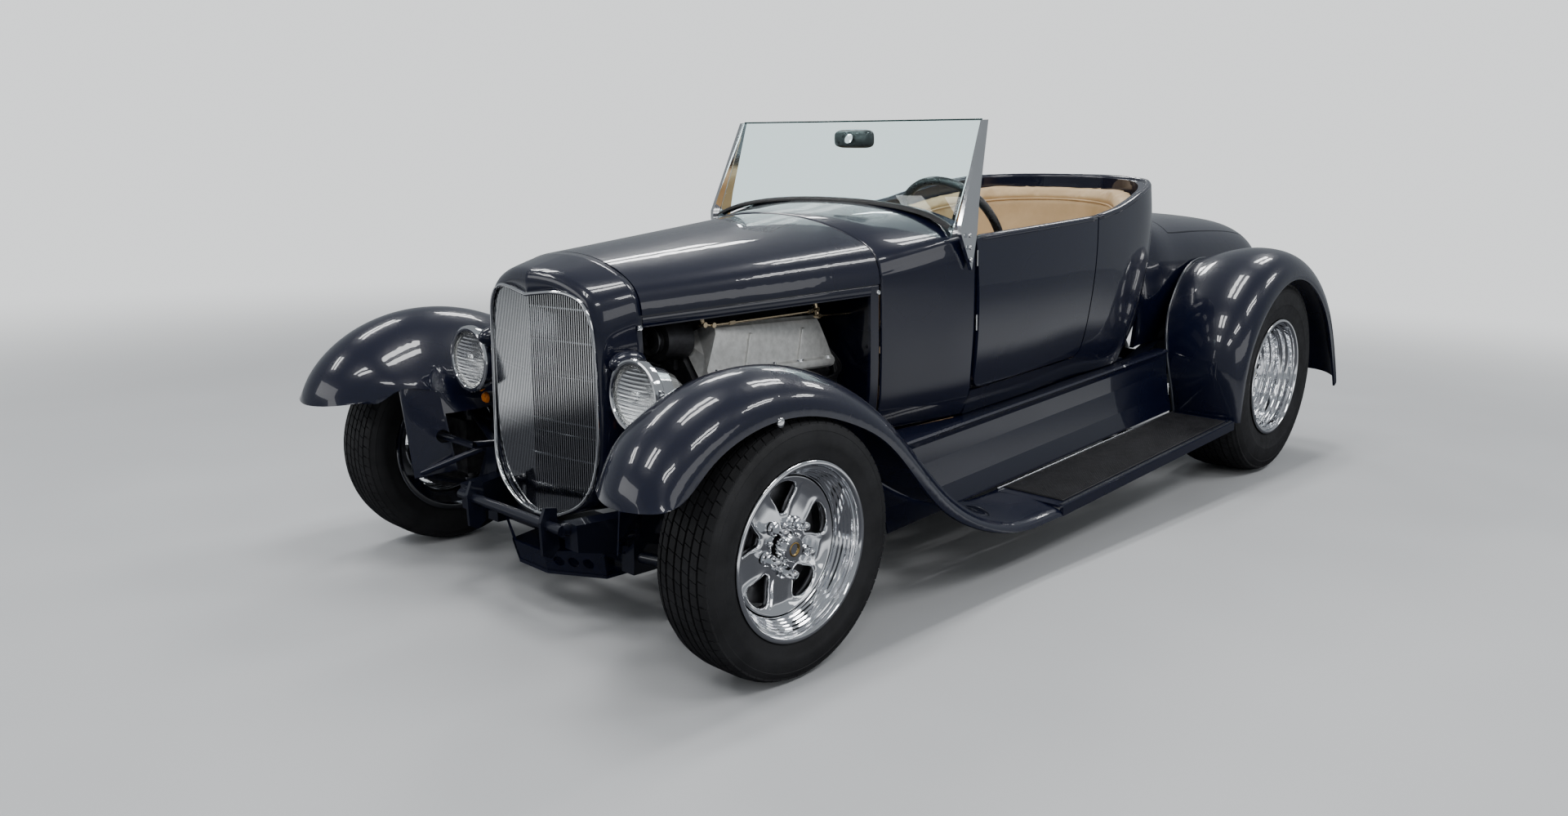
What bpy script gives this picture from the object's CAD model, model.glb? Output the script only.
import math

import bmesh
import bpy
from mathutils import Matrix, Vector


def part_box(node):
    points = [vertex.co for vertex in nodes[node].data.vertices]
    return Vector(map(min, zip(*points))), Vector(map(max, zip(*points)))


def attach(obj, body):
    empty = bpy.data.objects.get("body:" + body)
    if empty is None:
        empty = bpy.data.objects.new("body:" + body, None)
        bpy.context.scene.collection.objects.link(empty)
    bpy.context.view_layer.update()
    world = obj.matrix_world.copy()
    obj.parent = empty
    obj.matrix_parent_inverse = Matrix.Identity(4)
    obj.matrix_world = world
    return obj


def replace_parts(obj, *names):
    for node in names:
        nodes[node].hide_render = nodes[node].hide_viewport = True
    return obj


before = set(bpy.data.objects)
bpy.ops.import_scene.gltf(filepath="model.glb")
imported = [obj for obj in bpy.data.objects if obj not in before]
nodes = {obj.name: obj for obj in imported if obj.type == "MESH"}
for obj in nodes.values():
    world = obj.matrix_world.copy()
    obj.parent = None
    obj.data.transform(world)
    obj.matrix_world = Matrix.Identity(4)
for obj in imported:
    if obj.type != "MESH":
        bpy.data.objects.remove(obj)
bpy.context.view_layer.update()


# Camera at the photograph's viewpoint

CAMERA_PLACE = (3.2937, 2.3700, 1.1049)
CAMERA_YAW = math.radians(43.202)
CAMERA_PITCH = math.radians(11.533)
CAMERA_ROLL = math.radians(1.352)
SENSOR_WIDTH = 36
LENS = 26.56


def link(obj):
    bpy.context.scene.collection.objects.link(obj)
    return obj


def place_camera():
    level = math.cos(CAMERA_PITCH)
    ahead = Vector((-math.cos(CAMERA_YAW) * level, -math.sin(CAMERA_YAW) * level, -math.sin(CAMERA_PITCH)))
    side = ahead.cross(Vector((0, 0, 1))).normalized()
    top = side.cross(ahead)
    right = math.cos(CAMERA_ROLL) * side + math.sin(CAMERA_ROLL) * top
    up = -math.sin(CAMERA_ROLL) * side + math.cos(CAMERA_ROLL) * top
    data = bpy.data.cameras.new("camera")
    data.sensor_fit = "HORIZONTAL"
    data.sensor_width = SENSOR_WIDTH
    data.lens = LENS
    camera = link(bpy.data.objects.new("camera", data))
    turn = Matrix((right, up, -ahead)).transposed().to_4x4()
    camera.matrix_world = Matrix.Translation(CAMERA_PLACE) @ turn
    bpy.context.scene.camera = camera


# Materials

def wire(tree, kind, inputs, out=0, **settings):
    """Adds a shader node, fills its inputs with values or links, and returns one of its outputs."""
    node = tree.nodes.new("ShaderNode" + kind)
    for key, value in settings.items():
        setattr(node, key, value)
    for key, value in inputs.items():
        if isinstance(value, bpy.types.NodeSocket):
            tree.links.new(value, node.inputs[key])
        else:
            node.inputs[key].default_value = value
    return node.outputs[out]


class Finish:
    """A Principled material with a few texture nodes in object space."""

    def __init__(self, name, **values):
        self.material = bpy.data.materials.new(name + "_finish")
        self.material.use_nodes = True
        self.tree = self.material.node_tree
        self.shader = self.tree.nodes["Principled BSDF"]
        self.place = wire(self.tree, "TexCoord", {}, "Object")
        for key, value in values.items():
            self.shader.inputs[key.replace("_", " ")].default_value = value

    def noise(self, scale, detail=3, rough=0.5):
        inputs = {"Vector": self.place, "Scale": scale, "Detail": detail, "Roughness": rough}
        return wire(self.tree, "TexNoise", inputs, "Fac")

    def cells(self, scale, feature="F1", out="Distance"):
        return wire(self.tree, "TexVoronoi", {"Vector": self.place, "Scale": scale}, out, feature=feature)

    def color(self, fac, *stops):
        """Base colour from dark to light between two (position, colour) stops."""
        tone = wire(self.tree, "ValToRGB", {0: fac})
        for element, (at, color) in zip(tone.node.color_ramp.elements, stops):
            element.position = at
            element.color = (*color, 1)
        self.tree.links.new(tone, self.shader.inputs["Base Color"])

    def rough(self, fac, low, high, a=0.3, b=0.7):
        """Roughness from low to high while fac goes from a to b."""
        inputs = {"From Min": a, "From Max": b, "To Min": low, "To Max": high, "Value": fac}
        self.tree.links.new(wire(self.tree, "MapRange", inputs), self.shader.inputs["Roughness"])

    def bump(self, height, depth, strength=1.0):
        """Adds a relief to those that are there already."""
        inputs = {"Strength": strength, "Distance": depth, "Height": height}
        normal = self.shader.inputs["Normal"]
        if normal.is_linked:
            inputs["Normal"] = normal.links[0].from_socket
        self.tree.links.new(wire(self.tree, "Bump", inputs), normal)


def paint(name, dark, light, rough):
    f = Finish(name, Coat_Weight=1.0, Coat_Roughness=0.012, Specular_IOR_Level=0.25)
    f.color(f.cells(1500, out="Color"), (0.2, dark), (0.9, light))
    f.rough(f.noise(3, 2), rough, rough + 0.06)
    f.bump(f.noise(240, 2), 0.00004)
    return f.material


def polished(name, color, rough, grain=500):
    f = Finish(name, Metallic=1.0)
    f.color(f.noise(9, 3), (0.3, [c * 0.93 for c in color]), (0.7, color))
    f.rough(f.noise(grain, 4), rough * 0.6, rough * 1.8)
    f.bump(f.noise(grain, 2), 0.00002)
    return f.material


def plain(name, values, tone, dark, light, rough, grain, light_at=0.7):
    """Noise between two tones; rough is a noise and its range, grain a noise and its depth."""
    f = Finish(name, **values)
    f.color(f.noise(*tone), (0.3, dark), (light_at, light))
    f.rough(f.noise(*rough[:2]), *rough[2:])
    if grain:
        f.bump(f.noise(*grain[:2]), grain[2])
    return f.material


def lens(name, clear, scale, dark, light, rough, depth):
    """Coloured lens with small cells."""
    f = Finish(name, Transmission_Weight=clear, IOR=1.49)
    f.color(f.cells(scale), (0.1, dark), (0.8, light))
    f.rough(f.noise(60, 2), *rough)
    f.bump(f.cells(scale), depth)
    return f.material


def fluted(name):
    f = Finish(name, Transmission_Weight=1.0, IOR=1.4)
    f.color(f.noise(12, 2), (0.3, (0.93, 0.95, 0.95)), (0.7, (0.98, 0.99, 0.99)))
    f.rough(f.noise(60, 2), 0.0, 0.03)
    for scale, depth, axis in ((34, 0.0016, "Z"), (60, 0.0006, "Y")):
        wave = wire(f.tree, "TexWave", {"Vector": f.place, "Scale": scale}, "Fac", bands_direction=axis)
        f.bump(wave, depth, 0.6)
    return f.material


def leather(name, dark, light):
    f = Finish(name, Specular_IOR_Level=0.45, Sheen_Weight=0.08)
    f.color(f.noise(7, 6, 0.6), (0.25, dark), (0.7, light))
    f.rough(f.cells(520, "DISTANCE_TO_EDGE"), 0.55, 0.38, 0.0, 0.3)
    f.bump(f.cells(520, "DISTANCE_TO_EDGE"), 0.0005, 0.7)
    f.bump(f.noise(18, 4), 0.0018, 0.6)
    return f.material


def carpet(name, dark, light):
    f = Finish(name, Sheen_Weight=0.4, Specular_IOR_Level=0.15)
    f.color(f.noise(600, 5), (0.3, dark), (0.7, light))
    f.rough(f.noise(200, 3), 0.85, 0.98)
    f.bump(f.noise(1100, 4), 0.003)
    return f.material


GLASS = {"Transmission_Weight": 1.0, "IOR": 1.45}
THIN_GLASS = {"Transmission_Weight": 1.0, "IOR": 1.2}
DULL, RUBBERY, SHINY = ({"Specular_IOR_Level": level} for level in (0.35, 0.4, 0.5))
FINISHES = (
    (paint, "body_paint", (0.0015, 0.0024, 0.0105), (0.0035, 0.0062, 0.026), 0.25),
    (paint, "frame_paint", (0.003, 0.004, 0.010), (0.006, 0.008, 0.020), 0.3),
    (paint, "piping", (0.02, 0.024, 0.034), (0.035, 0.04, 0.055), 0.3),
    (polished, "polished_wheel", (0.93, 0.94, 0.96), 0.05),
    (polished, "bright_trim", (0.88, 0.89, 0.90), 0.05),
    (polished, "linkage", (0.62, 0.50, 0.33), 0.16),
    (polished, "exhaust_steel", (0.78, 0.77, 0.75), 0.14),
    (polished, "reflector", (0.93, 0.93, 0.92), 0.10, 200),
    (polished, "board_strip", (0.30, 0.31, 0.33), 0.25),
    (polished, "gold_ring", (0.72, 0.50, 0.20), 0.12),
    (plain, "cast_covers", {"Metallic": 0.6}, (60, 5), (0.56, 0.56, 0.54), (0.74, 0.74, 0.72),
     (140, 4, 0.34, 0.52), (900, 3, 0.0002)),
    (plain, "engine_metal", {"Metallic": 0.6}, (25, 5), (0.018, 0.018, 0.02), (0.05, 0.05, 0.055),
     (90, 4, 0.38, 0.62), (700, 3, 0.0003)),
    (plain, "brake_steel", {"Metallic": 0.9}, (30, 4), (0.07, 0.07, 0.075), (0.2, 0.2, 0.21),
     (160, 4, 0.3, 0.5), (500, 2, 0.0001)),
    (plain, "tyre_rubber", DULL, (14, 6), (0.010, 0.010, 0.011), (0.020, 0.020, 0.022),
     (40, 5, 0.5, 0.68), (420, 4, 0.0003), 0.75),
    (plain, "seal_rubber", RUBBERY, (30, 3), (0.004, 0.004, 0.0045), (0.009, 0.009, 0.010),
     (80, 3, 0.35, 0.5), (700, 2, 0.0001)),
    (plain, "mat_rubber", RUBBERY, (16, 5), (0.010, 0.010, 0.012), (0.022, 0.022, 0.025),
     (60, 4, 0.42, 0.6), (900, 3, 0.0002)),
    (plain, "steering_black", SHINY, (30, 4), (0.008, 0.008, 0.009), (0.018, 0.018, 0.019),
     (50, 4, 0.22, 0.4), (600, 3, 0.0001)),
    (plain, "lamp_glass", GLASS, (12, 2), (0.95, 0.97, 0.98), (0.99, 1.0, 1.0), (60, 2, 0.0, 0.03), None),
    (plain, "screen_glass", THIN_GLASS, (2, 2), (0.80, 0.955, 0.965), (0.82, 0.965, 0.97),
     (6, 2, 0.0, 0.01), None),
    (plain, "glass_rim", SHINY, (20, 2), (0.01, 0.035, 0.035), (0.02, 0.06, 0.06),
     (40, 2, 0.1, 0.2), None),
    (lens, "red_lens", 0.5, 260, (0.75, 0.02, 0.015), (0.32, 0.0, 0.0), (0.04, 0.12), 0.0006),
    (lens, "amber_lens", 0.4, 300, (0.95, 0.30, 0.03), (0.60, 0.13, 0.0), (0.06, 0.15), 0.0005),
    (fluted, "fluted_glass"),
    (leather, "tan_leather", (0.50, 0.335, 0.17), (0.66, 0.47, 0.26)),
    (carpet, "cockpit_trim", (0.30, 0.20, 0.10), (0.48, 0.34, 0.19)),
)


def dress_cad():
    """Gives every CAD node's material slot the finish of the same name."""
    for obj in nodes.values():
        for place, old in enumerate(obj.data.materials):
            obj.data.materials[place] = finishes[old.name.split(".")[0]]


# Stage

BACKDROP = (0.86, 0.88, 0.89, 1)
BACKDROP_STRENGTH = 1.5
SKY_LIGHT = (0.88, 0.94, 1.0, 1)
SKY_STRENGTH = 0.3
FLOOR_REACH = 14
MAT_TONE = (0.035, 0.037, 0.045, 1)
MAT_HALF, MAT_END = 1.5, 2.1
FADE_FROM, FADE_TO = 2.6, 8.5
TUBE_SIZE, TUBE_HEIGHT, TUBE_GAP, TUBE_WATTS = (1.3, 0.24), 3.5, 0.42, 17


def emitter(name, place, aim, size, watts):
    data = bpy.data.lights.new(name, "AREA")
    data.shape = "RECTANGLE"
    data.size, data.size_y = size
    data.energy = watts
    lamp = link(bpy.data.objects.new(name, data))
    lamp.location = place
    lamp.rotation_euler = (Vector(aim) - Vector(place)).to_track_quat("-Z", "Y").to_euler()


def darken_seen_in_gloss(tree):
    """Near the car the floor looks dark where paint and bright metal mirror it, as a dark mat would."""
    base = tree.nodes["Principled BSDF"].inputs["Base Color"]
    place = wire(tree, "TexCoord", {}, "Object")
    away = wire(tree, "Math", {0: wire(tree, "SeparateXYZ", {0: place}, "Y")}, operation="ABSOLUTE")
    limits = {"From Min": MAT_END, "From Max": MAT_HALF, "Value": away}
    near = wire(tree, "MapRange", limits, "Result", interpolation_type="SMOOTHSTEP")
    glossy = wire(tree, "LightPath", {}, "Is Glossy Ray")
    share = wire(tree, "Math", {0: near, 1: glossy}, operation="MULTIPLY")
    tones = {"Factor": share, "A": base.links[0].from_socket, "B": MAT_TONE}
    tree.links.new(wire(tree, "Mix", tones, "Result", data_type="RGBA"), base)


def fade_far_floor(tree):
    """Lets the far floor pass into the backdrop's tone, for the camera's own view only."""
    place = wire(tree, "TexCoord", {}, "Object")
    away = wire(tree, "VectorMath", {0: place}, "Value", operation="LENGTH")
    limits = {"From Min": FADE_FROM, "From Max": FADE_TO, "Value": away}
    far_floor = wire(tree, "MapRange", limits, "Result", interpolation_type="SMOOTHSTEP")
    seen = wire(tree, "LightPath", {}, "Is Camera Ray")
    share = wire(tree, "Math", {0: far_floor, 1: seen}, operation="MULTIPLY")
    tone = wire(tree, "Emission", {"Color": BACKDROP, "Strength": BACKDROP_STRENGTH})
    surface = tree.nodes["Material Output"].inputs["Surface"]
    tree.links.new(wire(tree, "MixShader", {0: share, 1: surface.links[0].from_socket, 2: tone}), surface)


def set_floor():
    mesh = bpy.data.meshes.new("floor")
    reach = FLOOR_REACH
    corners = [(-reach, -reach, 0), (reach, -reach, 0), (reach, reach, 0), (-reach, reach, 0)]
    mesh.from_pydata(corners, [], [(0, 1, 2, 3)])
    floor = link(bpy.data.objects.new("floor", mesh))
    f = Finish("floor", Specular_IOR_Level=0.3)
    f.color(f.noise(0.8, 3), (0.3, (0.60, 0.61, 0.62)), (0.7, (0.64, 0.65, 0.66)))
    f.rough(f.noise(2, 3), 0.4, 0.5)
    darken_seen_in_gloss(f.tree)
    fade_far_floor(f.tree)
    mesh.materials.append(f.material)


def set_lights():
    """Soft sky, a pale backdrop for camera and glass rays, rows of ceiling tubes and two tall soft boxes."""
    world = bpy.data.worlds.new("studio")
    bpy.context.scene.world = world
    world.use_nodes = True
    tree = world.node_tree
    sky = tree.nodes["Background"]
    sky.inputs["Color"].default_value = SKY_LIGHT
    sky.inputs["Strength"].default_value = SKY_STRENGTH
    backdrop = wire(tree, "Background", {"Color": BACKDROP, "Strength": BACKDROP_STRENGTH})
    ray = wire(tree, "LightPath", {}).node.outputs
    seen = wire(tree, "Math", {0: ray["Is Camera Ray"], 1: ray["Is Transmission Ray"]}, operation="MAXIMUM")
    mixed = wire(tree, "MixShader", {0: seen, 1: sky.outputs[0], 2: backdrop})
    tree.links.new(mixed, tree.nodes["World Output"].inputs["Surface"])
    for row, y in enumerate((-2.6, 0.2, 3.0)):
        for step, x in enumerate((-3.4, -0.9, 1.6, 4.1)):
            for k in (0, 1):
                spot = (x, y + k * TUBE_GAP, TUBE_HEIGHT)
                emitter(f"tube_{row}_{step}_{k}", spot, (*spot[:2], 0), TUBE_SIZE, TUBE_WATTS)
    emitter("left_wall", (1.0, 6.5, 2.2), (0, 0, 0.6), (6.0, 1.6), 45)
    emitter("front_wall", (7.0, -2.0, 2.4), (0.5, 0, 0.5), (4.0, 1.6), 40)


# Building tools. The body is drawn level, in mm from the floor under the front axle, and tipped by RAKE.

RAKE = math.radians(4)
FRONT_AXLE_X = 1514.9
FLAT = 1e-6


def turn_level(x, y, z):
    """A direction of the level drawing, turned into the shared frame."""
    return Vector((x * math.cos(RAKE) + z * math.sin(RAKE), y, z * math.cos(RAKE) - x * math.sin(RAKE)))


def lv(x, y, z):
    """A point of the level drawing, in the frame's metres."""
    return Vector((x * math.cos(RAKE) + z * math.sin(RAKE) + FRONT_AXLE_X, y,
                   z * math.cos(RAKE) - x * math.sin(RAKE))) / 1000


def unlevel(p):
    """Level-drawing millimetres of a point in the frame's metres."""
    x, z = p.x * 1000 - FRONT_AXLE_X, p.z * 1000
    return x * math.cos(RAKE) - z * math.sin(RAKE), p.y * 1000, x * math.sin(RAKE) + z * math.cos(RAKE)


def add(name, bm, slot, body="chassis", sharp=35, levels=0, bevel=0, thick=0, offset=-1, finish=None):
    """Links a piece made from a bmesh, smooth apart from edges over sharp degrees, riding on a body."""
    bmesh.ops.recalc_face_normals(bm, faces=bm.faces)
    mesh = bpy.data.meshes.new(name)
    bm.to_mesh(mesh)
    bm.free()
    obj = link(bpy.data.objects.new(name, mesh))
    mesh.materials.append(finishes[finish or slot])
    mesh.shade_smooth()
    if sharp:
        mesh.set_sharp_from_angle(angle=math.radians(sharp))
    if bevel:
        cut = obj.modifiers.new("edges", "BEVEL")
        cut.width = bevel
        cut.segments = 2
        cut.angle_limit = math.radians(32)
        cut.harden_normals = True
    if levels:
        soft = obj.modifiers.new("rounding", "SUBSURF")
        soft.levels = soft.render_levels = levels
    if thick:
        wall = obj.modifiers.new("thickness", "SOLIDIFY")
        wall.thickness = thick
        wall.offset = offset
    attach(obj, body)
    return obj


def across_ring(bm, rings, closed):
    """Quads between neighbouring rows of vertices; closed joins each row's ends."""
    for here, there in zip(rings, rings[1:]):
        count = len(here)
        for k in range(count if closed else count - 1):
            m = (k + 1) % count
            bm.faces.new((here[k], here[m], there[m], there[k]))


def round_the_axis(axis, count):
    """Directions spaced evenly about an axis."""
    side = axis.orthogonal().normalized()
    other = axis.cross(side)
    return [side * math.cos(a) + other * math.sin(a) for a in (2 * math.pi * i / count for i in range(count))]


def lathe(bm, profile, place, axis, turns=96, closed=False):
    """Turns a profile of (along, radius) points, in mm, about an axis through place."""
    axis = Vector(axis).normalized()
    rings = [[bm.verts.new(place + axis * (a / 1000) + out * (r / 1000)) for a, r in profile]
             for out in round_the_axis(axis, turns)]
    across_ring(bm, rings + rings[:1], closed)
    bmesh.ops.remove_doubles(bm, verts=[v for ring in rings for v in ring], dist=FLAT)


def tube(bm, points, radius, turns=10, cap=True):
    """A round tube along points; radius, in mm, may be one value or one a point."""
    rings = []
    normal = None
    for i, p in enumerate(points):
        ahead = (points[min(i + 1, len(points) - 1)] - points[max(i - 1, 0)]).normalized()
        if normal is None:
            normal = ahead.orthogonal().normalized()
        normal = (normal - ahead * normal.dot(ahead)).normalized()
        other = ahead.cross(normal)
        r = (radius[i] if isinstance(radius, (list, tuple)) else radius) / 1000
        rings.append([bm.verts.new(p + (normal * math.cos(a) + other * math.sin(a)) * r)
                      for a in (2 * math.pi * k / turns for k in range(turns))])
    across_ring(bm, rings, True)
    if cap:
        bm.faces.new(rings[0][::-1])
        bm.faces.new(rings[-1])


def skin(bm, rows, closed=False):
    """Quads between rows of points; closed joins each row's ends."""
    grid = [[bm.verts.new(p) for p in row] for row in rows]
    across_ring(bm, grid, closed)
    return grid


def block(bm, corners):
    """A six-sided block from its four lower and four upper corners."""
    v = [bm.verts.new(c) for c in corners]
    for face in ((3, 2, 1, 0), (4, 5, 6, 7), (0, 1, 5, 4), (1, 2, 6, 5), (2, 3, 7, 6), (3, 0, 4, 7)):
        bm.faces.new([v[i] for i in face])


def brick(bm, x0, x1, y0, y1, z0, z1):
    """A block with its edges along the level drawing's axes."""
    block(bm, [lv(x, y, z) for z in (z0, z1) for x, y in ((x0, y0), (x1, y0), (x1, y1), (x0, y1))])


def smooth_path(points, steps=6):
    """Catmull-Rom points through the given ones."""
    out = []
    full = [points[0]] + list(points) + [points[-1]]
    for a, b, c, d in zip(full, full[1:], full[2:], full[3:]):
        for i in range(steps):
            t = i / steps
            out.append(0.5 * ((2 * b) + (c - a) * t + (2 * a - 5 * b + 4 * c - d) * t * t
                              + (3 * b - a - 3 * c + d) * t ** 3))
    out.append(points[-1].copy())
    return out


def centre(node):
    low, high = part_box(node)
    return (low + high) / 2


# Wheels. Profiles and radii are in mm; shares of a tyre's half width or wall are plain fractions.

SIDES = ((1, "left"), (-1, "right"))
TREAD_DEPTH = 7
FRONT_RIBS = ((-0.10, 0.10), (0.17, 0.38), (0.45, 0.64), (0.70, 0.90))
REAR_RIBS = ((-0.06, 0.06), (0.10, 0.24), (0.28, 0.44), (0.48, 0.64), (0.68, 0.90))
BEAD = ((0.80, 1), (0.86, 4), (0.87, 9), (0.90, 11))
SIDEWALL = ((0.965, 0.26), (0.985, 0.38), (0.998, 0.40), (1, 0.50), (0.99, 0.62), (0.965, 0.70),
            (0.972, 0.715), (0.93, 0.80), (0.86, 0.895))


def tread_blocks(bm, place, radius, half, wall, ribs, pitches):
    """Skewed blocks in ribs; the outer ones lie lower, where the tread turns into the sidewall."""
    step = 2 * math.pi / pitches
    for low, high in ribs:
        length = step * (1 - (0.12 if high > 0.75 else 0.08))
        for mirror in ((1, -1) if low > 0 else (1,)):
            a0, a1 = low * half * mirror, high * half * mirror
            skew = step * 0.25 * mirror
            for i in range(pitches):
                start = step * (i + (0.5 if low > 0.3 and mirror > 0 else 0))
                end = start + length
                corners = []
                for top in (0, 1):
                    for a, turn in ((a0, start), (a1, start + skew), (a1, end + skew), (a0, end)):
                        far = abs(a) / half
                        drop = wall * 0.115 if far > 0.84 else 1.2 + wall * 0.05 * max(0, far - 0.45) / 0.4
                        r = radius - drop - (0 if top else TREAD_DEPTH + 3)
                        corners.append(place + Vector((math.sin(turn) * r, a, math.cos(turn) * r)) / 1000)
                block(bm, corners)


def tyre(node, body, radius, width, rim_r, ribs, pitches):
    """Carcass with sidewall rings and separate tread blocks."""
    place = centre(node)
    half = width / 2
    wall = radius - rim_r
    ground = radius - TREAD_DEPTH
    outer = [(half * a, rim_r + rise) for a, rise in BEAD]
    outer += [(half * a, rim_r + wall * rise) for a, rise in SIDEWALL]
    outer += [(half * 0.80, ground - wall * 0.025), (half * 0.5, ground - 1)]
    bm = bmesh.new()
    lathe(bm, [(-a, r) for a, r in outer] + [(0, ground)] + outer[::-1], place, (0, 1, 0), 96, True)
    tread_blocks(bm, place, radius, half, wall, ribs, pitches)
    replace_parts(add(node + "_tread", bm, "tyre_rubber", body, sharp=28), node)


STAR_RING_R = 160
STAR_HUB_R = 62
STAR_ROWS = [[(36, 0), (36, 9), (36, 18), (36, 27), (36, 36)],
             [(42, 0), (42, 9), (42, 18), (42, 27), (42, 36)],
             [(60, 0), (60, 9), (60, 18), (60, 27), (60, 36)],
             [(78, 0), (78, 10), (78, 20), (77, 28), (76, 36)],
             [(96, 0), (96, 9), (96, 18), (96, 25)],
             [(118, 0), (118, 7), (118, 13), (118, 19)],
             [(138, 0), (138, 6), (138, 12), (137, 17.5)],
             [(152, 0), (152, 6), (152, 12), (152, 18), (152, 27), (152, 36)],
             [(160, 0), (160, 6), (160, 12), (160, 18), (160, 27), (160, 36)]]
STAR_BASE = [(145, 27), (147, 36)]
STAR_THICK = 0.022


def star_rise(r, a):
    """How far the star's face stands out at a radius and at an angle from the spoke's middle."""
    if r < 50:
        return 4.0
    if r <= STAR_HUB_R:
        return 2.0
    if r <= 80:
        return 3.0 if a > 26 else -1.0 + a * 0.05
    if r < 145:
        edge = 25 if r < 100 else (19 if r < 130 else 17.5)
        return 3.5 if abs(a - edge) < 1.0 else -3.0
    return 6.0 if r < 155 else 12.0


def star(node, body, side, ring_r, hub_y):
    """Five-spoke centre with rounded windows and raised edges; each row holds (radius, angle) points."""
    place = centre(node)
    bm = bmesh.new()

    def point(r, a, flip, turn):
        angle = math.radians(a * flip + turn)
        out = r * ring_r / STAR_RING_R if r > STAR_HUB_R else r
        y = side * (hub_y + star_rise(r, a))
        return place + Vector((math.sin(angle) * out, y, math.cos(angle) * out)) / 1000

    for arm in range(5):
        for flip in (1, -1):
            turn = 72 * arm + 36
            grid = [[bm.verts.new(point(r, a, flip, turn)) for r, a in row] for row in STAR_ROWS]
            base = [bm.verts.new(point(r, a, flip, turn)) for r, a in STAR_BASE]
            for low, high in zip(grid, grid[1:]):
                for k in range(min(len(low), len(high)) - 1):
                    bm.faces.new((low[k], low[k + 1], high[k + 1], high[k]))
            bm.faces.new((grid[6][3], base[0], grid[7][4], grid[7][3]))
            bm.faces.new((base[0], base[1], grid[7][5], grid[7][4]))
    bmesh.ops.remove_doubles(bm, verts=bm.verts, dist=0.0004)
    bmesh.ops.recalc_face_normals(bm, faces=bm.faces)
    if sum(f.normal.y for f in bm.faces) * side < 0:
        bmesh.ops.reverse_faces(bm, faces=bm.faces)
    thick = bmesh.ops.extrude_face_region(bm, geom=bm.faces[:])
    for v in thick["geom"]:
        if isinstance(v, bmesh.types.BMVert):
            v.co.y -= side * STAR_THICK
    add(node + "_star", bm, "polished_wheel", body, sharp=0, levels=2)


RIM_LIP = 9
RIM_STEPS = 5


def barrel(node, body, side, half, rim_r, ring_r, hub_y, well):
    """Rim barrel with a rolled edge and steps down to the ring of the star."""
    seat = rim_r - 0.4
    steps = [(half + 5, seat + 7), (half + 6, seat + 3), (half + 5, seat - 1), (half + 1, seat - 4.5),
             (half - 4, seat - 6), (half - 8, seat - 6.5), (half - 9, seat - 9), (half - 12, seat - 10)]
    run = (half - 12 - (hub_y + 8)) / RIM_STEPS
    drop = (seat - 10 - (ring_r + 2)) / RIM_STEPS
    for i in range(RIM_STEPS):
        a0, a1 = half - 12 - run * i, half - 12 - run * (i + 0.72)
        r0 = seat - 10 - drop * i
        steps += [(a0 - 1, r0 - drop * 0.5), (a1, r0 - drop * 0.72), (a1 - 1.2, r0 - drop * 0.98)]
    steps += [(hub_y + 6, ring_r), (hub_y - 12, ring_r - 2), (hub_y - 22, ring_r + 2), (-half + 34, well - 4),
              (-half + 18, seat - 8), (-half - 5, seat - 5), (-half - 6, seat + 3),
              (-half - 4, seat + RIM_LIP), (-half, seat + RIM_LIP), (-half, seat), (-half + 24, seat),
              (-half + 34, well), (half - 56, well), (half - 34, seat), (half, seat), (half, seat + RIM_LIP),
              (half + 3, seat + RIM_LIP)]
    bm = bmesh.new()
    lathe(bm, steps, centre(node), (0, side, 0), 128, True)
    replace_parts(add(node + "_barrel", bm, "polished_wheel", body, sharp=32), node)


LUG_CIRCLE_R, RIVET_CIRCLE_R = 0.057, 0.047
LUG_SEAT = [(-2, 0), (-2, 16.5), (3, 16.5), (5, 14), (9, 13), (10, 0)]
LUG_HEX = [(9, 0), (9, 11.5), (24, 11.5), (26, 9.5), (26, 0)]
LUG_TIP = [(25, 0), (25, 9.5), (36, 9.5), (39.5, 8.2), (41.5, 5), (42, 0)]
RIVET = [(0, 5.5), (4.5, 5.5), (6, 4), (3.5, 3), (3.5, 0)]
HUB_CAP = [(-18, 0), (-18, 28.5), (30, 28.5), (32.5, 26.5), (33, 17), (31, 16.5), (31, 0)]
CAP_RING = [(30.5, 16.5), (33.5, 16), (34, 14.5), (33.5, 12.5), (30.5, 12)]


def hub_pieces(node, body, side, hub_y):
    """Lug nuts with their seats, rivets between them, and the centre cap with its ring."""
    base = centre(node) + Vector((0, side * (hub_y + 1) / 1000, 0))
    axis = Vector((0, side, 0))

    def ray(degrees):
        return Vector((math.sin(math.radians(degrees)), 0, math.cos(math.radians(degrees))))

    nuts = bmesh.new()
    for i in range(5):
        spot = base + ray(72 * i + 36) * LUG_CIRCLE_R
        for profile, turns in ((LUG_SEAT, 24), (LUG_HEX, 6), (LUG_TIP, 24)):
            lathe(nuts, profile, spot, axis, turns)
        lathe(nuts, RIVET, base + ray(72 * i + 72) * RIVET_CIRCLE_R, axis, 12)
    add(node + "_lugs", nuts, "polished_wheel", body, sharp=30)
    cap = bmesh.new()
    lathe(cap, HUB_CAP, base, axis, 48)
    for i in range(20):
        tube(cap, [base + ray(18 * i) * 0.0285 + axis * a for a in (0.002, 0.022)], 2.1, 6)
    add(node + "_cap", cap, "bright_trim", body, sharp=30)
    ring = bmesh.new()
    lathe(ring, CAP_RING, base, axis, 40, True)
    add(node + "_cap_ring", ring, "bright_trim", body, finish="gold_ring")
    bore = bmesh.new()
    lathe(bore, [(-24, 28), (-20, 28), (-20, 37), (-24, 37)], base, axis, 40, True)
    add(node + "_bore", bore, "engine_metal", body)


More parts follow.
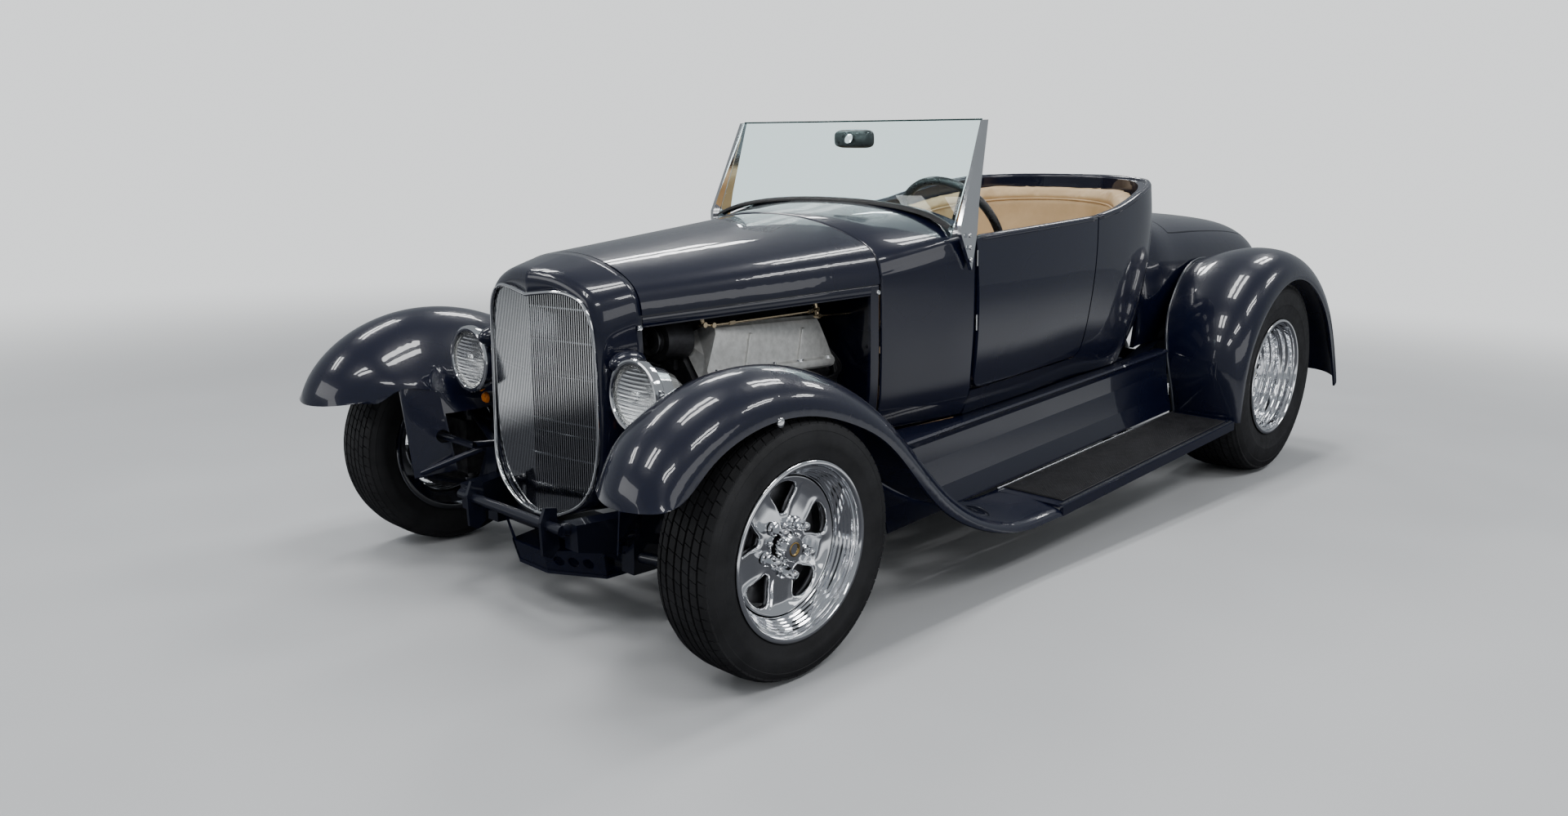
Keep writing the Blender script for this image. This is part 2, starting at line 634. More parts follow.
# End, tyre radius and width, rim radius, ribs, pitches, star ring radius, hub face, barrel half width, well
WHEELS = (("front", 298.5, 165, 195, FRONT_RIBS, 66, 160, 12, 74, 160),
          ("rear", 376, 285, 214, REAR_RIBS, 78, 172, 13, 131, 184))


def wheels():
    for side, name in SIDES:
        for end, radius, width, rim_r, ribs, pitches, ring_r, hub_y, half, well in WHEELS:
            node, body = f"{end}_rim_{name}", f"{end}_wheel_{name}"
            tyre(f"{end}_tyre_{name}", body, radius, width, rim_r, ribs, pitches)
            star(node, body, side, ring_r, hub_y)
            barrel(node, body, side, half, rim_r, ring_r, hub_y, well)
            hub_pieces(node, body, side, hub_y + 4)


# Frame and nose

SWAY_X, SWAY_Z = (FRONT_AXLE_X + 168) / 1000, 0.374
SWAY_BAR_R = 0.0125
SWAY_BAR_REACH = 0.2


def frame_piece():
    """The frame as built, with the sway bar's middle left out, since no bar crosses the grille."""
    bm = bmesh.new()
    bm.from_mesh(nodes["frame"].data)
    bm.transform(nodes["frame"].matrix_world)
    gone = []
    for face in bm.faces:
        spread = [v.co.y for v in face.verts]
        near = all(math.hypot(v.co.x - SWAY_X, v.co.z - SWAY_Z) < SWAY_BAR_R for v in face.verts)
        if near and min(spread) < -SWAY_BAR_REACH and max(spread) > SWAY_BAR_REACH:
            gone.append(face)
    bmesh.ops.delete(bm, geom=gone, context="FACES")
    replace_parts(add("frame_rails", bm, "frame_paint", sharp=30), "frame")


# Edge of the grille opening as (y, z, x), and outlines of the shell's front and rear as (y, z)
GRILLE_EDGE = [(0, 262, 136), (60, 266, 131), (118, 284, 124), (172, 318, 114), (206, 372, 104),
               (218, 450, 92), (219, 540, 86), (217, 640, 81), (212, 720, 80), (203, 768, 81),
               (180, 802, 84), (142, 819, 92), (96, 823, 103), (40, 817, 110), (0, 811, 113)]
SHELL_FRONT = [(0, 254), (60, 258), (118, 277), (176, 312), (214, 370), (227, 450), (229, 540), (227, 640),
               (223, 720), (216, 768), (198, 806), (160, 836), (104, 858), (50, 866), (0, 868)]
SHELL_REAR = [(0, 250), (64, 252), (130, 262), (200, 290), (243, 350), (256, 450), (260, 540), (262, 640),
              (262, 720), (259, 782), (243, 824), (204, 854), (126, 883), (60, 895), (0, 898)]
SHELL_REAR_X = -20
SHELL_ROUND = 24


def face_point(y, z):
    """A point of the shell's front face: two planes that meet in the middle and lean back."""
    return Vector((136 - 23 * (z - 262) / 549 + 5 - 36 * abs(y) / 218, y, z))


def grille_shell_piece():
    """Shell round the grille: inner lip, narrow face, rounded edge and crown back to the hood."""
    front = smooth_path([Vector((0, y, z)) for y, z in SHELL_FRONT], 5)
    rear = smooth_path([Vector((SHELL_REAR_X, y, z)) for y, z in SHELL_REAR], 5)
    lip = smooth_path([Vector((0, y, z)) for y, z, _ in GRILLE_EDGE], 5)
    rows = []
    for f, back, g in zip(front, rear, lip):
        edge, mouth = face_point(f.y, f.z), face_point(g.y, g.z)

        def side(s):
            grown = s ** 0.85
            return edge + (back - edge) * Vector((s, grown, grown))

        start = edge.lerp(mouth, min(SHELL_ROUND / (mouth - edge).length, 0.92))
        cut = SHELL_ROUND / (edge - back).length
        end = side(cut)
        profile = [mouth - Vector((14, 0, 0)), mouth - Vector((2, 0, 0)), mouth.lerp(start, 0.15), start]
        for t in [k / 7 for k in range(1, 8)]:
            profile.append(start * (1 - t) ** 2 + edge * 2 * t * (1 - t) + end * t * t)
        profile += [side(cut + (1 - cut) * k / 6) for k in range(1, 7)]
        profile.append(Vector((SHELL_REAR_X + 1, back.y * 0.965, back.z + (-6 if back.z > 500 else 6))))
        rows.append(profile)
    bm = bmesh.new()
    skin(bm, [[lv(*p) for p in row] for row in rows])
    skin(bm, [[lv(p.x, -p.y, p.z) for p in row[::-1]] for row in rows])
    bmesh.ops.remove_doubles(bm, verts=bm.verts, dist=0.00005)
    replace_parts(add("shell_skin", bm, "body_paint", sharp=0), "grille_shell")


def grille_trim():
    """Bright ring round the opening, with two thin rods across behind the bars."""
    left = smooth_path([lv(x + 7, y, z) for y, z, x in GRILLE_EDGE], 5)
    bm = bmesh.new()
    tube(bm, left, 4.8, cap=False)
    tube(bm, [Vector((p.x, -p.y, p.z)) for p in left], 4.8, cap=False)
    add("grille_ring", bm, "bright_trim", sharp=0)
    bm = bmesh.new()
    for z, half, x_side, x_mid in ((470, 214, 88, 116), (612, 214, 80, 112)):
        ys = [half * (i / 6 - 1) for i in range(13)]
        tube(bm, [lv(x_mid - (x_mid - x_side) * (abs(y) / half) ** 1.2 - 6, y, z) for y in ys], 2.2, 8)
    add("grille_rods", bm, "bright_trim")


# Headlamps

FORWARD = Vector((1, 0, 0))
LAMP = (84, 346, 600)
LENS_R = 0.076
LENS_RINGS = 40
LENS_TURNS = 120
BOWL_R = 75


def flute(dy, dz):
    """Relief of the lens: level flutes over most of it and fine upright ones in its upper part."""
    if dz < 0.006:
        return 0.0009 * abs(math.sin(math.pi * dz / 0.007))
    return 0.0003 * abs(math.sin(math.pi * dy / 0.005))


def lens_piece(name, base):
    rings = []
    for r in [LENS_R * ring / LENS_RINGS for ring in range(LENS_RINGS + 1)]:
        rings.append([])
        for angle in [2 * math.pi * step / LENS_TURNS for step in range(LENS_TURNS)]:
            dy, dz = r * math.cos(angle), r * math.sin(angle)
            far = r / LENS_R
            dx = 0.0095 - 0.012 * far ** 2 + flute(dy, dz) * (1 - far ** 6)
            rings[-1].append(base + Vector((dx, dy, dz)))
    bm = bmesh.new()
    grid = skin(bm, rings[1:] + [[p - Vector((0.006, 0, 0)) for p in rings[-1]]], closed=True)
    middle = bm.verts.new(rings[0][0])
    for a, b in zip(grid[0], grid[0][1:] + grid[0][:1]):
        bm.faces.new((a, b, middle))
    piece = add("headlamp_lens_" + name, bm, "lamp_glass", sharp=0, finish="fluted_glass")
    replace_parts(piece, "headlamp_lenses")


def reflector_pieces(name, base):
    """Reflector bowl, and the shield in front of its bulb."""
    bm = bmesh.new()
    bowl = [(-8 - 30 * (1 - (i / 12) ** 2), BOWL_R * i / 12) for i in range(13)]
    lathe(bm, bowl, base + FORWARD * 0.002, FORWARD, 64)
    add("reflector_" + name, bm, "bright_trim", sharp=0, finish="reflector")
    bm = bmesh.new()
    lathe(bm, [(-30, 12), (-12, 12), (-10, 10), (-9, 0)], base, FORWARD, 24)
    add("bulb_shield_" + name, bm, "bright_trim")


def lamp_ring(side, name, base):
    """Retaining ring round the lens, with its screw."""
    bm = bmesh.new()
    lathe(bm, [(-18, 88.5), (-16, 90), (-6, 90.5), (0, 89.5), (3, 87), (4.5, 83), (4, 78.5), (1, 76.5),
               (-3, 76.5), (-4, 80)], base, FORWARD, 96, True)
    spot = base + Vector((-0.008, side * 0.0895, 0.016))
    lathe(bm, [(-3, 0), (-3, 4.5), (2, 4.5), (3.5, 3), (3.5, 0)], spot, (0, side, 0), 16)
    add("lamp_ring_" + name, bm, "bright_trim", sharp=25)


def lamp_mount(side, name):
    """Painted mount between shell and lamp, with its arm."""
    bm = bmesh.new()
    lathe(bm, [(-52, 0), (-50, 12), (-40, 21), (-22, 27), (0, 28.5), (20, 26), (36, 19), (46, 10), (50, 0)],
          lv(42, side * 276, 664), turn_level(1, 0, 0.05), 40)
    arm = [lv(30, side * 280, 655), lv(20, side * 318, 640), lv(14, side * 336, 625)]
    tube(bm, arm, [16, 14, 15], 16)
    add("lamp_mount_" + name, bm, "body_paint", sharp=0)


def turn_signal(side, name):
    """Turn signal on a stalk below the headlamp."""
    signal = lv(38, side * 336, 489)
    bm = bmesh.new()
    tube(bm, [lv(20, side * 252, 492), lv(34, side * 322, 490)], 6)
    lathe(bm, [(-14, 0), (-14, 13), (8, 16.5), (10, 16), (10, 0)], signal, FORWARD, 28)
    add("signal_body_" + name, bm, "engine_metal")
    bm = bmesh.new()
    lathe(bm, [(9, 15.5), (14, 15), (19, 11), (21, 0)], signal, FORWARD, 28)
    add("signal_lens_" + name, bm, "red_lens", finish="amber_lens")


def headlamps():
    for side, name in SIDES:
        base = lv(LAMP[0], side * LAMP[1], LAMP[2])
        lens_piece(name, base)
        reflector_pieces(name, base)
        lamp_ring(side, name, base)
        lamp_mount(side, name)
        turn_signal(side, name)


# Body skins

COWL_FRONT_X, COWL_REAR_X = -735, -1047.5
COWL_FRONT = [(376, 345), (392, 385), (401, 425), (405, 490), (409, 600), (410, 765), (406, 795), (388, 840),
              (305, 888), (150, 926), (0, 936)]
COWL_REAR = [(458, 345), (477, 385), (489, 425), (495, 490), (502, 600), (503, 760), (500, 850), (476, 892),
             (330, 936), (160, 953), (0, 957)]


def cowl_piece():
    """Cowl skin from the hood to the doors, its two ends turned in a little, and the doors' hinge pins."""
    rows = []
    for share in (0, 0.02, 0.3, 0.6, 0.98, 1):
        x = COWL_FRONT_X + (COWL_REAR_X - COWL_FRONT_X) * share
        fold = 2 if share in (0, 1) else 0
        half = [Vector((x, y0 + (y1 - y0) * share * 0.983 - fold, z0 + (z1 - z0) * share * 0.983 - fold))
                for (y0, z0), (y1, z1) in zip(COWL_FRONT, COWL_REAR)]
        full = half + [Vector((x, -p.y, p.z)) for p in half[-2::-1]]
        rows.append([lv(*p) for p in smooth_path(full, 6)])
    bm = bmesh.new()
    skin(bm, rows)
    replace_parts(add("cowl_skin", bm, "body_paint", sharp=0, thick=0.005, offset=0), "cowl")
    bm = bmesh.new()
    for side in (1, -1):
        for z in (600, 785):
            tube(bm, [lv(-1050.2, side * 506, z), lv(-1050.2, side * 506, z + 45)], 2.4, 12)
    add("hinge_pins", bm, "bright_trim")


def hood_rails():
    """Fixed strip under each hood edge and the upright beside the cowl."""
    bm = bmesh.new()
    for side in (1, -1):
        rows = []
        for share in [i / 8 for i in range(9)]:
            x, y = -26 - 705 * share, 259 + 147 * share
            section = ((14, 760.5), (1, 760.5), (0, 759), (0, 741), (1.5, 738.5), (14, 738))
            rows.append([lv(x, side * (y - d), z) for d, z in section])
        skin(bm, rows[::side], closed=True)
        rows = []
        for z, y in ((759, 405), (600, 404.5), (520, 402), (460, 399), (400, 392)):
            section = ((-732, -12), (-732, 0), (-730, 1), (-706, -4), (-704, -6), (-704, -16))
            rows.append([lv(x, side * (y + d), z) for x, d in section])
        skin(bm, rows[::-side], closed=True)
    add("hood_side_rails", bm, "body_paint", sharp=35)


# Windshield

POST_LEAN = 0.463


def glass_x(z):
    return -1108 + (1186 - z) * POST_LEAN


def screen_trim():
    """Rubber seal on the cowl, ground top edge of the glass and the post screws."""
    seal = [(0, 961), (110, 960), (220, 954), (320, 943), (400, 927), (448, 908), (468, 898)]
    section = ((15, -7), (12, 1), (5, 5), (-3, 6), (-14, -2), (-17, -9))
    bm = bmesh.new()
    skin(bm, [[lv(glass_x(z) + dx, y, z + dz) for dx, dz in section]
              for y, z in [(-y, z) for y, z in seal[:0:-1]] + seal])
    add("screen_seal", bm, "tyre_rubber", sharp=0, levels=1, finish="seal_rubber")
    bm = bmesh.new()
    tube(bm, [lv(-1110, y, 1187.5) for y in (-473, -200, 200, 473)], 2.6, 8)
    add("glass_edge", bm, "screen_glass", finish="glass_rim")
    bm = bmesh.new()
    for side in (1, -1):
        for z in (806, 842, 876):
            lathe(bm, [(0, 0), (0, 6.2), (2, 6.2), (4.5, 4), (5.2, 0)],
                  lv(-1000 - (860 - z) * 0.1, side * 513.5, z), (0, side, 0), 16)
    add("post_screws", bm, "bright_trim")


MIRROR_Z = 1134


def squared(value, power):
    return math.copysign(abs(value) ** power, value)


def mirror():
    """Inside mirror: rounded housing, its bright face and the stem to the glass."""
    x, z = glass_x(MIRROR_Z) - 30, MIRROR_Z
    angles = [2 * math.pi * i / 24 for i in range(24)]
    outline = [(squared(math.cos(a), 0.35), squared(math.sin(a), 0.5)) for a in angles]
    rows = [[lv(x + off, y * half_w, z + up * half_h) for y, up in outline]
            for off, half_w, half_h in ((14, 60, 19), (8, 72, 25), (-4, 76, 28), (-8, 75, 27))]
    bm = bmesh.new()
    bm.faces.new(skin(bm, rows, closed=True)[0])
    add("mirror_body", bm, "steering_black", sharp=50)
    bm = bmesh.new()
    bm.faces.new([bm.verts.new(q - turn_level(0.0002, 0, 0)) for q in rows[-1]])
    add("mirror_face", bm, "bright_trim")
    bm = bmesh.new()
    tube(bm, [lv(x + 12, 0, z), lv(glass_x(z) - 5, 0, z + 2)], 6, 12)
    lathe(bm, [(-6, 0), (-6, 13), (-1, 15), (0, 0)], lv(glass_x(z + 2) - 3.4, 0, z + 2),
          turn_level(1, 0, POST_LEAN), 24)
    add("mirror_stem", bm, "bright_trim")


# Boards, fender beads and small outside pieces

MAT_RIBS = 36
# Rear fender's edge as (x, z, angle, y of the inner edge, drop)
FENDER_EDGE = [(-2300, 96, 2, 540, 4), (-2290, 200, 6, 528, 4), (-2296, 320, 12, 500, 6),
               (-2350, 450, 32, 462, 24), (-2460, 565, 52, 436, 40), (-2610, 645, 70, 412, 50),
               (-2770, 668, 90, 403, 54), (-2940, 634, 110, 404, 58), (-3100, 550, 128, 406, 58),
               (-3230, 430, 145, 412, 50)]


def board_mats():
    """Ribbed mats on the running boards, and the strips beside them."""
    bm = bmesh.new()
    strips = bmesh.new()
    for side in (1, -1):
        brick(bm, -2268, -1150, side * 548, side * 748, 108.2, 110.6)
        for y in [551 + i * 5.35 for i in range(MAT_RIBS)]:
            brick(bm, -2266, -1152, side * y, side * (y + 2.9), 110.6, 112.6)
        brick(strips, -2288, -1118, side * 756, side * 764, 108.2, 110.2)
        tube(strips, [lv(x, side * 544, 110) for x in (-2284, -1900, -1500, -1118)], 3.8)
    add("board_mats", bm, "tyre_rubber", sharp=30, finish="mat_rubber")
    add("board_strips", strips, "bright_trim", finish="board_strip")


def fender_piping():
    """Piping between the body and each rear fender."""
    bm = bmesh.new()
    for side in (1, -1):
        path = []
        for x, z, angle, y_in, drop in FENDER_EDGE:
            turn = math.radians(angle)
            in_x, in_z = (drop - 3) * math.cos(turn), (drop - 3) * math.sin(turn)
            path.append(lv(x - in_x, side * (y_in - 1), z - in_z))
        tube(bm, smooth_path(path, 6), 4.6)
    add("fender_piping", bm, "body_paint", sharp=0, finish="piping")


def outside_screws():
    """Screws of the front fenders and of the hood's side rails."""
    bm = bmesh.new()
    for side in (1, -1):
        lathe(bm, [(-2, 0), (-2, 10.5), (2, 10.5), (3.6, 8.5), (4.2, 4), (4.2, 0)],
              lv(44, side * 772, 603), (0, side, 0), 28)
        for x, y, z in ((-12, 264, 736), (-728, 406, 742)):
            lathe(bm, [(-2, 0), (-2, 7.5), (2, 7.5), (4, 5), (4.2, 2), (3, 0)], lv(x, side * y, z),
                  (0, side, 0), 20)
    add("outside_screws", bm, "bright_trim")


# Engine

ENGINE_TURN = math.radians(-4.6)
ENGINE_X, ENGINE_Z, ENGINE_LIFT = -205, 597, 34


def eng(x, y, z):
    """A point of the engine's own drawing, tilted tail down and lifted, in the frame's metres."""
    dx, dz = x - ENGINE_X, z - ENGINE_Z
    return lv(ENGINE_X + dx * math.cos(ENGINE_TURN) + dz * math.sin(ENGINE_TURN), y,
              ENGINE_Z + ENGINE_LIFT - dx * math.sin(ENGINE_TURN) + dz * math.cos(ENGINE_TURN))


SHAFT = (eng(1, 0, 0) - eng(0, 0, 0)).normalized()
UPRIGHT = (eng(0, 0, 1) - eng(0, 0, 0)).normalized()
COVER_FRONT_X, COVER_REAR_X, COVER_SLOPE = -205, -683, 46
# Section as (y, z, share of the ends' slope)
COVER_SECTION = [(176, 641, 0), (258, 540, 0), (266, 531, 0), (276, 534, 0), (287, 541, 0), (290, 552, 0),
                 (288, 560, 0), (283, 563, 0.04), (280, 566, 0.06), (274, 612, 0.5), (266, 656, 0.93),
                 (259, 669, 1.0), (246, 675, 1.0), (214, 668, 1.0), (196, 660, 0.93), (188, 650, 0.6)]
COVER_SHARES = (0, 0.012, 0.03, 0.09, 0.2, 0.35, 0.5, 0.65, 0.8, 0.91, 0.97, 0.988, 1)
COVER_PAD = ((198, 664, 0), (202, 665.5, 3.5), (236, 673.5, 3.5), (252, 675.5, 3.5), (256, 674, 0))
BRACES_X = (-345, -545)


def cover_skin(side, name):
    rows = []
    for share in COVER_SHARES:
        rows.append([])
        for y, z, high in COVER_SECTION:
            x0, x1 = COVER_FRONT_X - COVER_SLOPE * high, COVER_REAR_X + COVER_SLOPE * high
            rows[-1].append(eng(x0 + (x1 - x0) * share, side * y, z))
    bm = bmesh.new()
    grid = skin(bm, rows, closed=True)
    for row in (grid[0], grid[-1]):
        middle = bm.verts.new(sum((v.co for v in row), Vector()) / len(row))
        for a, b in zip(row, row[1:] + row[:1]):
            bm.faces.new((a, b, middle))
    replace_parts(add("valve_cover_" + name, bm, "cast_covers", sharp=40, bevel=0.0022), "valve_covers")


def valve_cover(side, name):
    """Cast cover with a flange, sloped sides and ends, two braces, a raised pad and its bolts."""
    cover_skin(side, name)
    bm = bmesh.new()
    for x in BRACES_X:
        foot = ((-8, 289, 566), (8, 289, 566), (8, 274, 566), (-8, 274, 566))
        head = ((-29, 273, 648), (-19, 273, 648), (-19, 262, 652), (-29, 262, 652))
        block(bm, [eng(x + d, side * y, z) for d, y, z in foot + head])
    skin(bm, [[eng(x, side * y, z + rise * lift) for y, z, lift in COVER_PAD]
              for x, rise in ((-262, 0), (-258, 1), (-630, 1), (-634, 0))])
    add("cover_ribs_" + name, bm, "cast_covers", sharp=30, bevel=0.0015)
    bm = bmesh.new()
    for x in (-232, -345, -444, -545, -656):
        up = eng(x, side * 284, 590) - eng(x, side * 284, 560)
        spot = eng(x, side * 284.5, 561)
        lathe(bm, [(-1, 0), (-1, 10), (1.2, 10), (1.4, 6.6), (7.5, 6.6), (8.5, 5), (8.5, 0)], spot, up,
              12 if x == -444 else 6)
        if x in BRACES_X:
            tube(bm, [spot + up * 0.13 + (eng(d, 0, 0) - eng(0, 0, 0)) for d in (-13, 13)], 2.8, 8)
            tube(bm, [spot, spot + up * 0.5], 3, 8)
    add("cover_bolts_" + name, bm, "bright_trim", sharp=30)


def linkage():
    """Throttle rods over the left cover, with their joints, nuts and arms."""
    bm = bmesh.new()
    tube(bm, [lv(-210, 268, 716), lv(-232, 274, 712), lv(-600, 280, 697)], 4.2, 12)
    tube(bm, [lv(-618, 284, 682), lv(-640, 286, 680), lv(-812, 298, 668)], 3.6, 12)
    for p in ((-210, 268, 716), (-236, 272, 712), (-612, 282, 700), (-616, 284, 682)):
        lathe(bm, [(-9, 0), (-9, 6.8), (9, 6.8), (9, 0)], lv(*p), (0, 1, 0), 16)
    for x in (-300, -590):
        share = (x + 232) / (-600 + 232)
        lathe(bm, [(-10, 0), (-10, 6.2), (10, 6.2), (10, 0)], lv(x, 274 + 6 * share, 712 - 14 * share),
              turn_level(1, 0, 0.03), 6)
    add("linkage_rods", bm, "bright_trim", finish="linkage")
    bm = bmesh.new()
    tube(bm, [lv(-606, 280, 734), lv(-610, 282, 712), lv(-616, 284, 682)], [6.2, 7.5, 6.2], 12)
    tube(bm, [lv(-204, 264, 742), lv(-207, 267, 728), lv(-210, 268, 716)], [5.5, 6.5, 5.5], 12)
    add("linkage_arms", bm, "bright_trim", finish="linkage")


def ignition():
    """Plug leads, which run below the covers and up behind them, and the distributor."""
    bm = bmesh.new()
    for side in (1, -1):
        for i, x in enumerate((-262, -378, -494, -610)):
            path = [eng(x - 8, side * 246, 500), eng(x - 10, side * 262, 492),
                    eng(x - 30, side * 292, 498 - 4 * i), eng(-690, side * 290, 512 - 6 * i),
                    eng(-716, side * 220, 590), eng(-700, side * 90, 690),
                    eng(-640, side * (52 - 9 * i), 772)]
            tube(bm, smooth_path(path, 6), 4.2, 8)
            tube(bm, [eng(x - 4, side * 236, 506), eng(x - 10, side * 266, 488)], 8.5)
    add("plug_leads", bm, "steering_black", finish="seal_rubber")
    bm = bmesh.new()
    base = eng(-600, 0, 690)
    lathe(bm, [(0, 0), (0, 36), (30, 40), (52, 62), (78, 60), (92, 48), (94, 0)], base, UPRIGHT, 40)
    for out in round_the_axis(UPRIGHT, 8):
        tube(bm, [base + out * 0.042 + UPRIGHT * a for a in (0.090, 0.110)], [9, 7.5])
    add("distributor", bm, "engine_metal", sharp=30)


def air_cleaner():
    """Bright lid and base ring with a wing nut's dome, and the pleated element between them."""
    base = eng(-470, 0, 738)
    bm = bmesh.new()
    lathe(bm, [(62, 0), (66.5, 12), (66.5, 150), (64, 166), (60, 174), (54, 176), (52, 170)],
          base, UPRIGHT, 72)
    lathe(bm, [(0, 176), (6, 178), (12, 172)], base, UPRIGHT, 72)
    lathe(bm, [(64, 0), (64, 16), (70, 14), (76, 8), (77, 0)], base, UPRIGHT, 24)
    add("cleaner_lid", bm, "bright_trim", sharp=30)
    bm = bmesh.new()
    for out in round_the_axis(UPRIGHT, 72):
        tube(bm, [base + out * 0.1715 + UPRIGHT * a for a in (0.010, 0.056)], 3.2, 6)
    add("cleaner_element", bm, "engine_metal", finish="seal_rubber")


BELT_LOOP = [(0, 256), (62, 300), (84, 352), (60, 470), (170, 600), (222, 640), (206, 672), (176, 674),
             (40, 580), (-52, 550), (-66, 500), (-84, 352), (-60, 290), (0, 256)]


def belt_drive():
    """Pulleys of crank, water pump and alternator, their belt and the fan."""
    bm = bmesh.new()
    for place, r in ((eng(-138, 0, 340), 82), (eng(-122, 0, 520), 62), (eng(-108, 190, 640), 36)):
        lathe(bm, [(-12, r - 16), (-12, r), (-8, r), (-4, r - 10), (4, r - 10), (8, r), (12, r),
                   (12, r - 16)], place, SHAFT, 48, True)
        lathe(bm, [(6, r - 16), (4, 20), (8, 18), (8, 0)], place, SHAFT, 36)
    add("pulleys", bm, "bright_trim", sharp=30, finish="brake_steel")
    bm = bmesh.new()
    skin(bm, [[eng(-126, y, z), eng(-118, y, z)] for y, z in BELT_LOOP])
    add("fan_belt", bm, "tyre_rubber", sharp=0, thick=0.006, finish="seal_rubber")
    bm = bmesh.new()
    hub = eng(-86, 0, 520)
    for angle in [2 * math.pi * k / 6 for k in range(6)]:
        out = Vector((0, math.sin(angle), math.cos(angle)))
        across = Vector((0, math.cos(angle), -math.sin(angle)))
        skin(bm, [[hub + out * r + (across + SHAFT * 0.45) * half * w for w in (-1, -0.5, 0, 0.5, 1)]
                  for r, half in ((0.03, 0.018), (0.09, 0.034), (0.15, 0.040), (0.185, 0.036))])
    lathe(bm, [(-12, 0), (-12, 45), (10, 45), (12, 30), (12, 0)], hub, SHAFT, 32)
    add("fan", bm, "bright_trim", thick=0.0016)


def engine_pieces():
    for side, name in SIDES:
        valve_cover(side, name)
    linkage()
    ignition()
    air_cleaner()
    belt_drive()


# Cockpit shapes

# Levels of the tub as (z, half width at the doors, how far back it reaches), and the rim as (x, z)
TUB_LEVELS = [(430, 492, 2330), (560, 510, 2372), (700, 513, 2404), (800, 507, 2424), (862, 500, 2432),
              (930, 492, 2436), (985, 486, 2436)]
RIM = [(-900, 862), (-1733, 864), (-1900, 880), (-2100, 915), (-2300, 942), (-2440, 950)]


def tub_point(share, z, inset):
    """A point of the tub's side and rear at a level; share runs from the left door round to the right one."""
    for (z0, w0, r0), (z1, w1, r1) in zip(TUB_LEVELS, TUB_LEVELS[1:]):
        if z <= z1:
            break
    t = min(max((z - z0) / (z1 - z0), 0), 1)
    w = w0 + (w1 - w0) * t - inset
    r = r0 + (r1 - r0) * t - inset
    half = [(-1070, w), (-1400, w + 6), (-1750, w + 4), (-2020, w - 12), (-(r - 190), w - 62),
            (-(r - 80), w - 150), (-(r - 18), w - 290), (-r, 0)]
    fine = smooth_path([Vector((x, y, 0)) for x, y in half + [(x, -y) for x, y in half[-2::-1]]], 10)
    at = share * (len(fine) - 1)
    i = min(int(at), len(fine) - 2)
    p = fine[i].lerp(fine[i + 1], at - i)
    return p.x, p.y


def rim_height(x):
    for (x0, z0), (x1, z1) in zip(RIM, RIM[1:]):
        if x >= x1:
            return z0 + (z1 - z0) * (x0 - x) / (x0 - x1)
    return RIM[-1][1]


def door_half(z):
    """Half width of the body's outside at the doors."""
    return 492 + 18 * min(max((z - 430) / 130, 0), 1)


# Seats

CUSHION_X0, CUSHION_X1, CUSHION_Z0, CUSHION_Z1 = -2134, -1708, 436, 566
CUSHION_HALF = 438
BACK_FOOT_Z = 594
BACK_INSET, BACK_THICK = 50, 38
WELT_DROP = 78
FILLER_X, FILLER_Z, FILLER_REACH_Z, FILLER_INSET = -2112, 541, 560, 92
VOXEL = 0.009
CLOTH_FRAMES = 20
CLOTH = {"use_pressure": True, "uniform_pressure_force": 4, "quality": 4, "tension_stiffness": 12,
         "compression_stiffness": 8, "bending_stiffness": 1.2}


def pad_block(x0, x1, counts, shape):
    """Closed block of quads for a pad; shape() turns x and the three shares into a point."""
    bm = bmesh.new()
    verts = {}

    def get(*at):
        if at not in verts:
            i, j, k = (a / n for a, n in zip(at, counts))
            verts[at] = bm.verts.new(lv(*shape(x0 + (x1 - x0) * i, i, j, k)))
        return verts[at]

    nx, ny, nz = counts
    for i in range(nx):
        for j in range(ny):
            for k in (0, nz):
                bm.faces.new((get(i, j, k), get(i + 1, j, k), get(i + 1, j + 1, k), get(i, j + 1, k)))
    for i in range(nx):
        for k in range(nz):
            for j in (0, ny):
                bm.faces.new((get(i, j, k), get(i + 1, j, k), get(i + 1, j, k + 1), get(i, j, k + 1)))
    for j in range(ny):
        for k in range(nz):
            for i in (0, nx):
                bm.faces.new((get(i, j, k), get(i, j + 1, k), get(i, j + 1, k + 1), get(i, j, k + 1)))
    return bm


def puff(obj, cap):
    """Blows a pad up as cloth, keeps each point within cap of its start and applies the result."""
    remesh = obj.modifiers.new("remesh", "REMESH")
    remesh.mode = "VOXEL"
    remesh.voxel_size = VOXEL
    depsgraph = bpy.context.evaluated_depsgraph_get()
    fine = bpy.data.meshes.new_from_object(obj.evaluated_get(depsgraph))
    obj.modifiers.clear()
    for m in obj.data.materials:
        fine.materials.append(m)
    obj.data = fine
    start = [v.co.copy() for v in fine.vertices]
    cloth = obj.modifiers.new("cloth", "CLOTH")
    for key, value in CLOTH.items():
        setattr(cloth.settings, key, value)
    cloth.settings.effector_weights.gravity = 0
    scene = bpy.context.scene
    for f in range(1, CLOTH_FRAMES + 1):
        scene.frame_set(f)
    depsgraph = bpy.context.evaluated_depsgraph_get()
    blown = obj.evaluated_get(depsgraph).to_mesh()
    moved = []
    for a, v in zip(start, blown.vertices):
        step = v.co - a
        if step.length > cap:
            step = step * (cap / step.length)
        moved.append(a + step)
    obj.evaluated_get(depsgraph).to_mesh_clear()
    obj.modifiers.clear()
    scene.frame_set(1)
    for v, p in zip(fine.vertices, moved):
        v.co = p


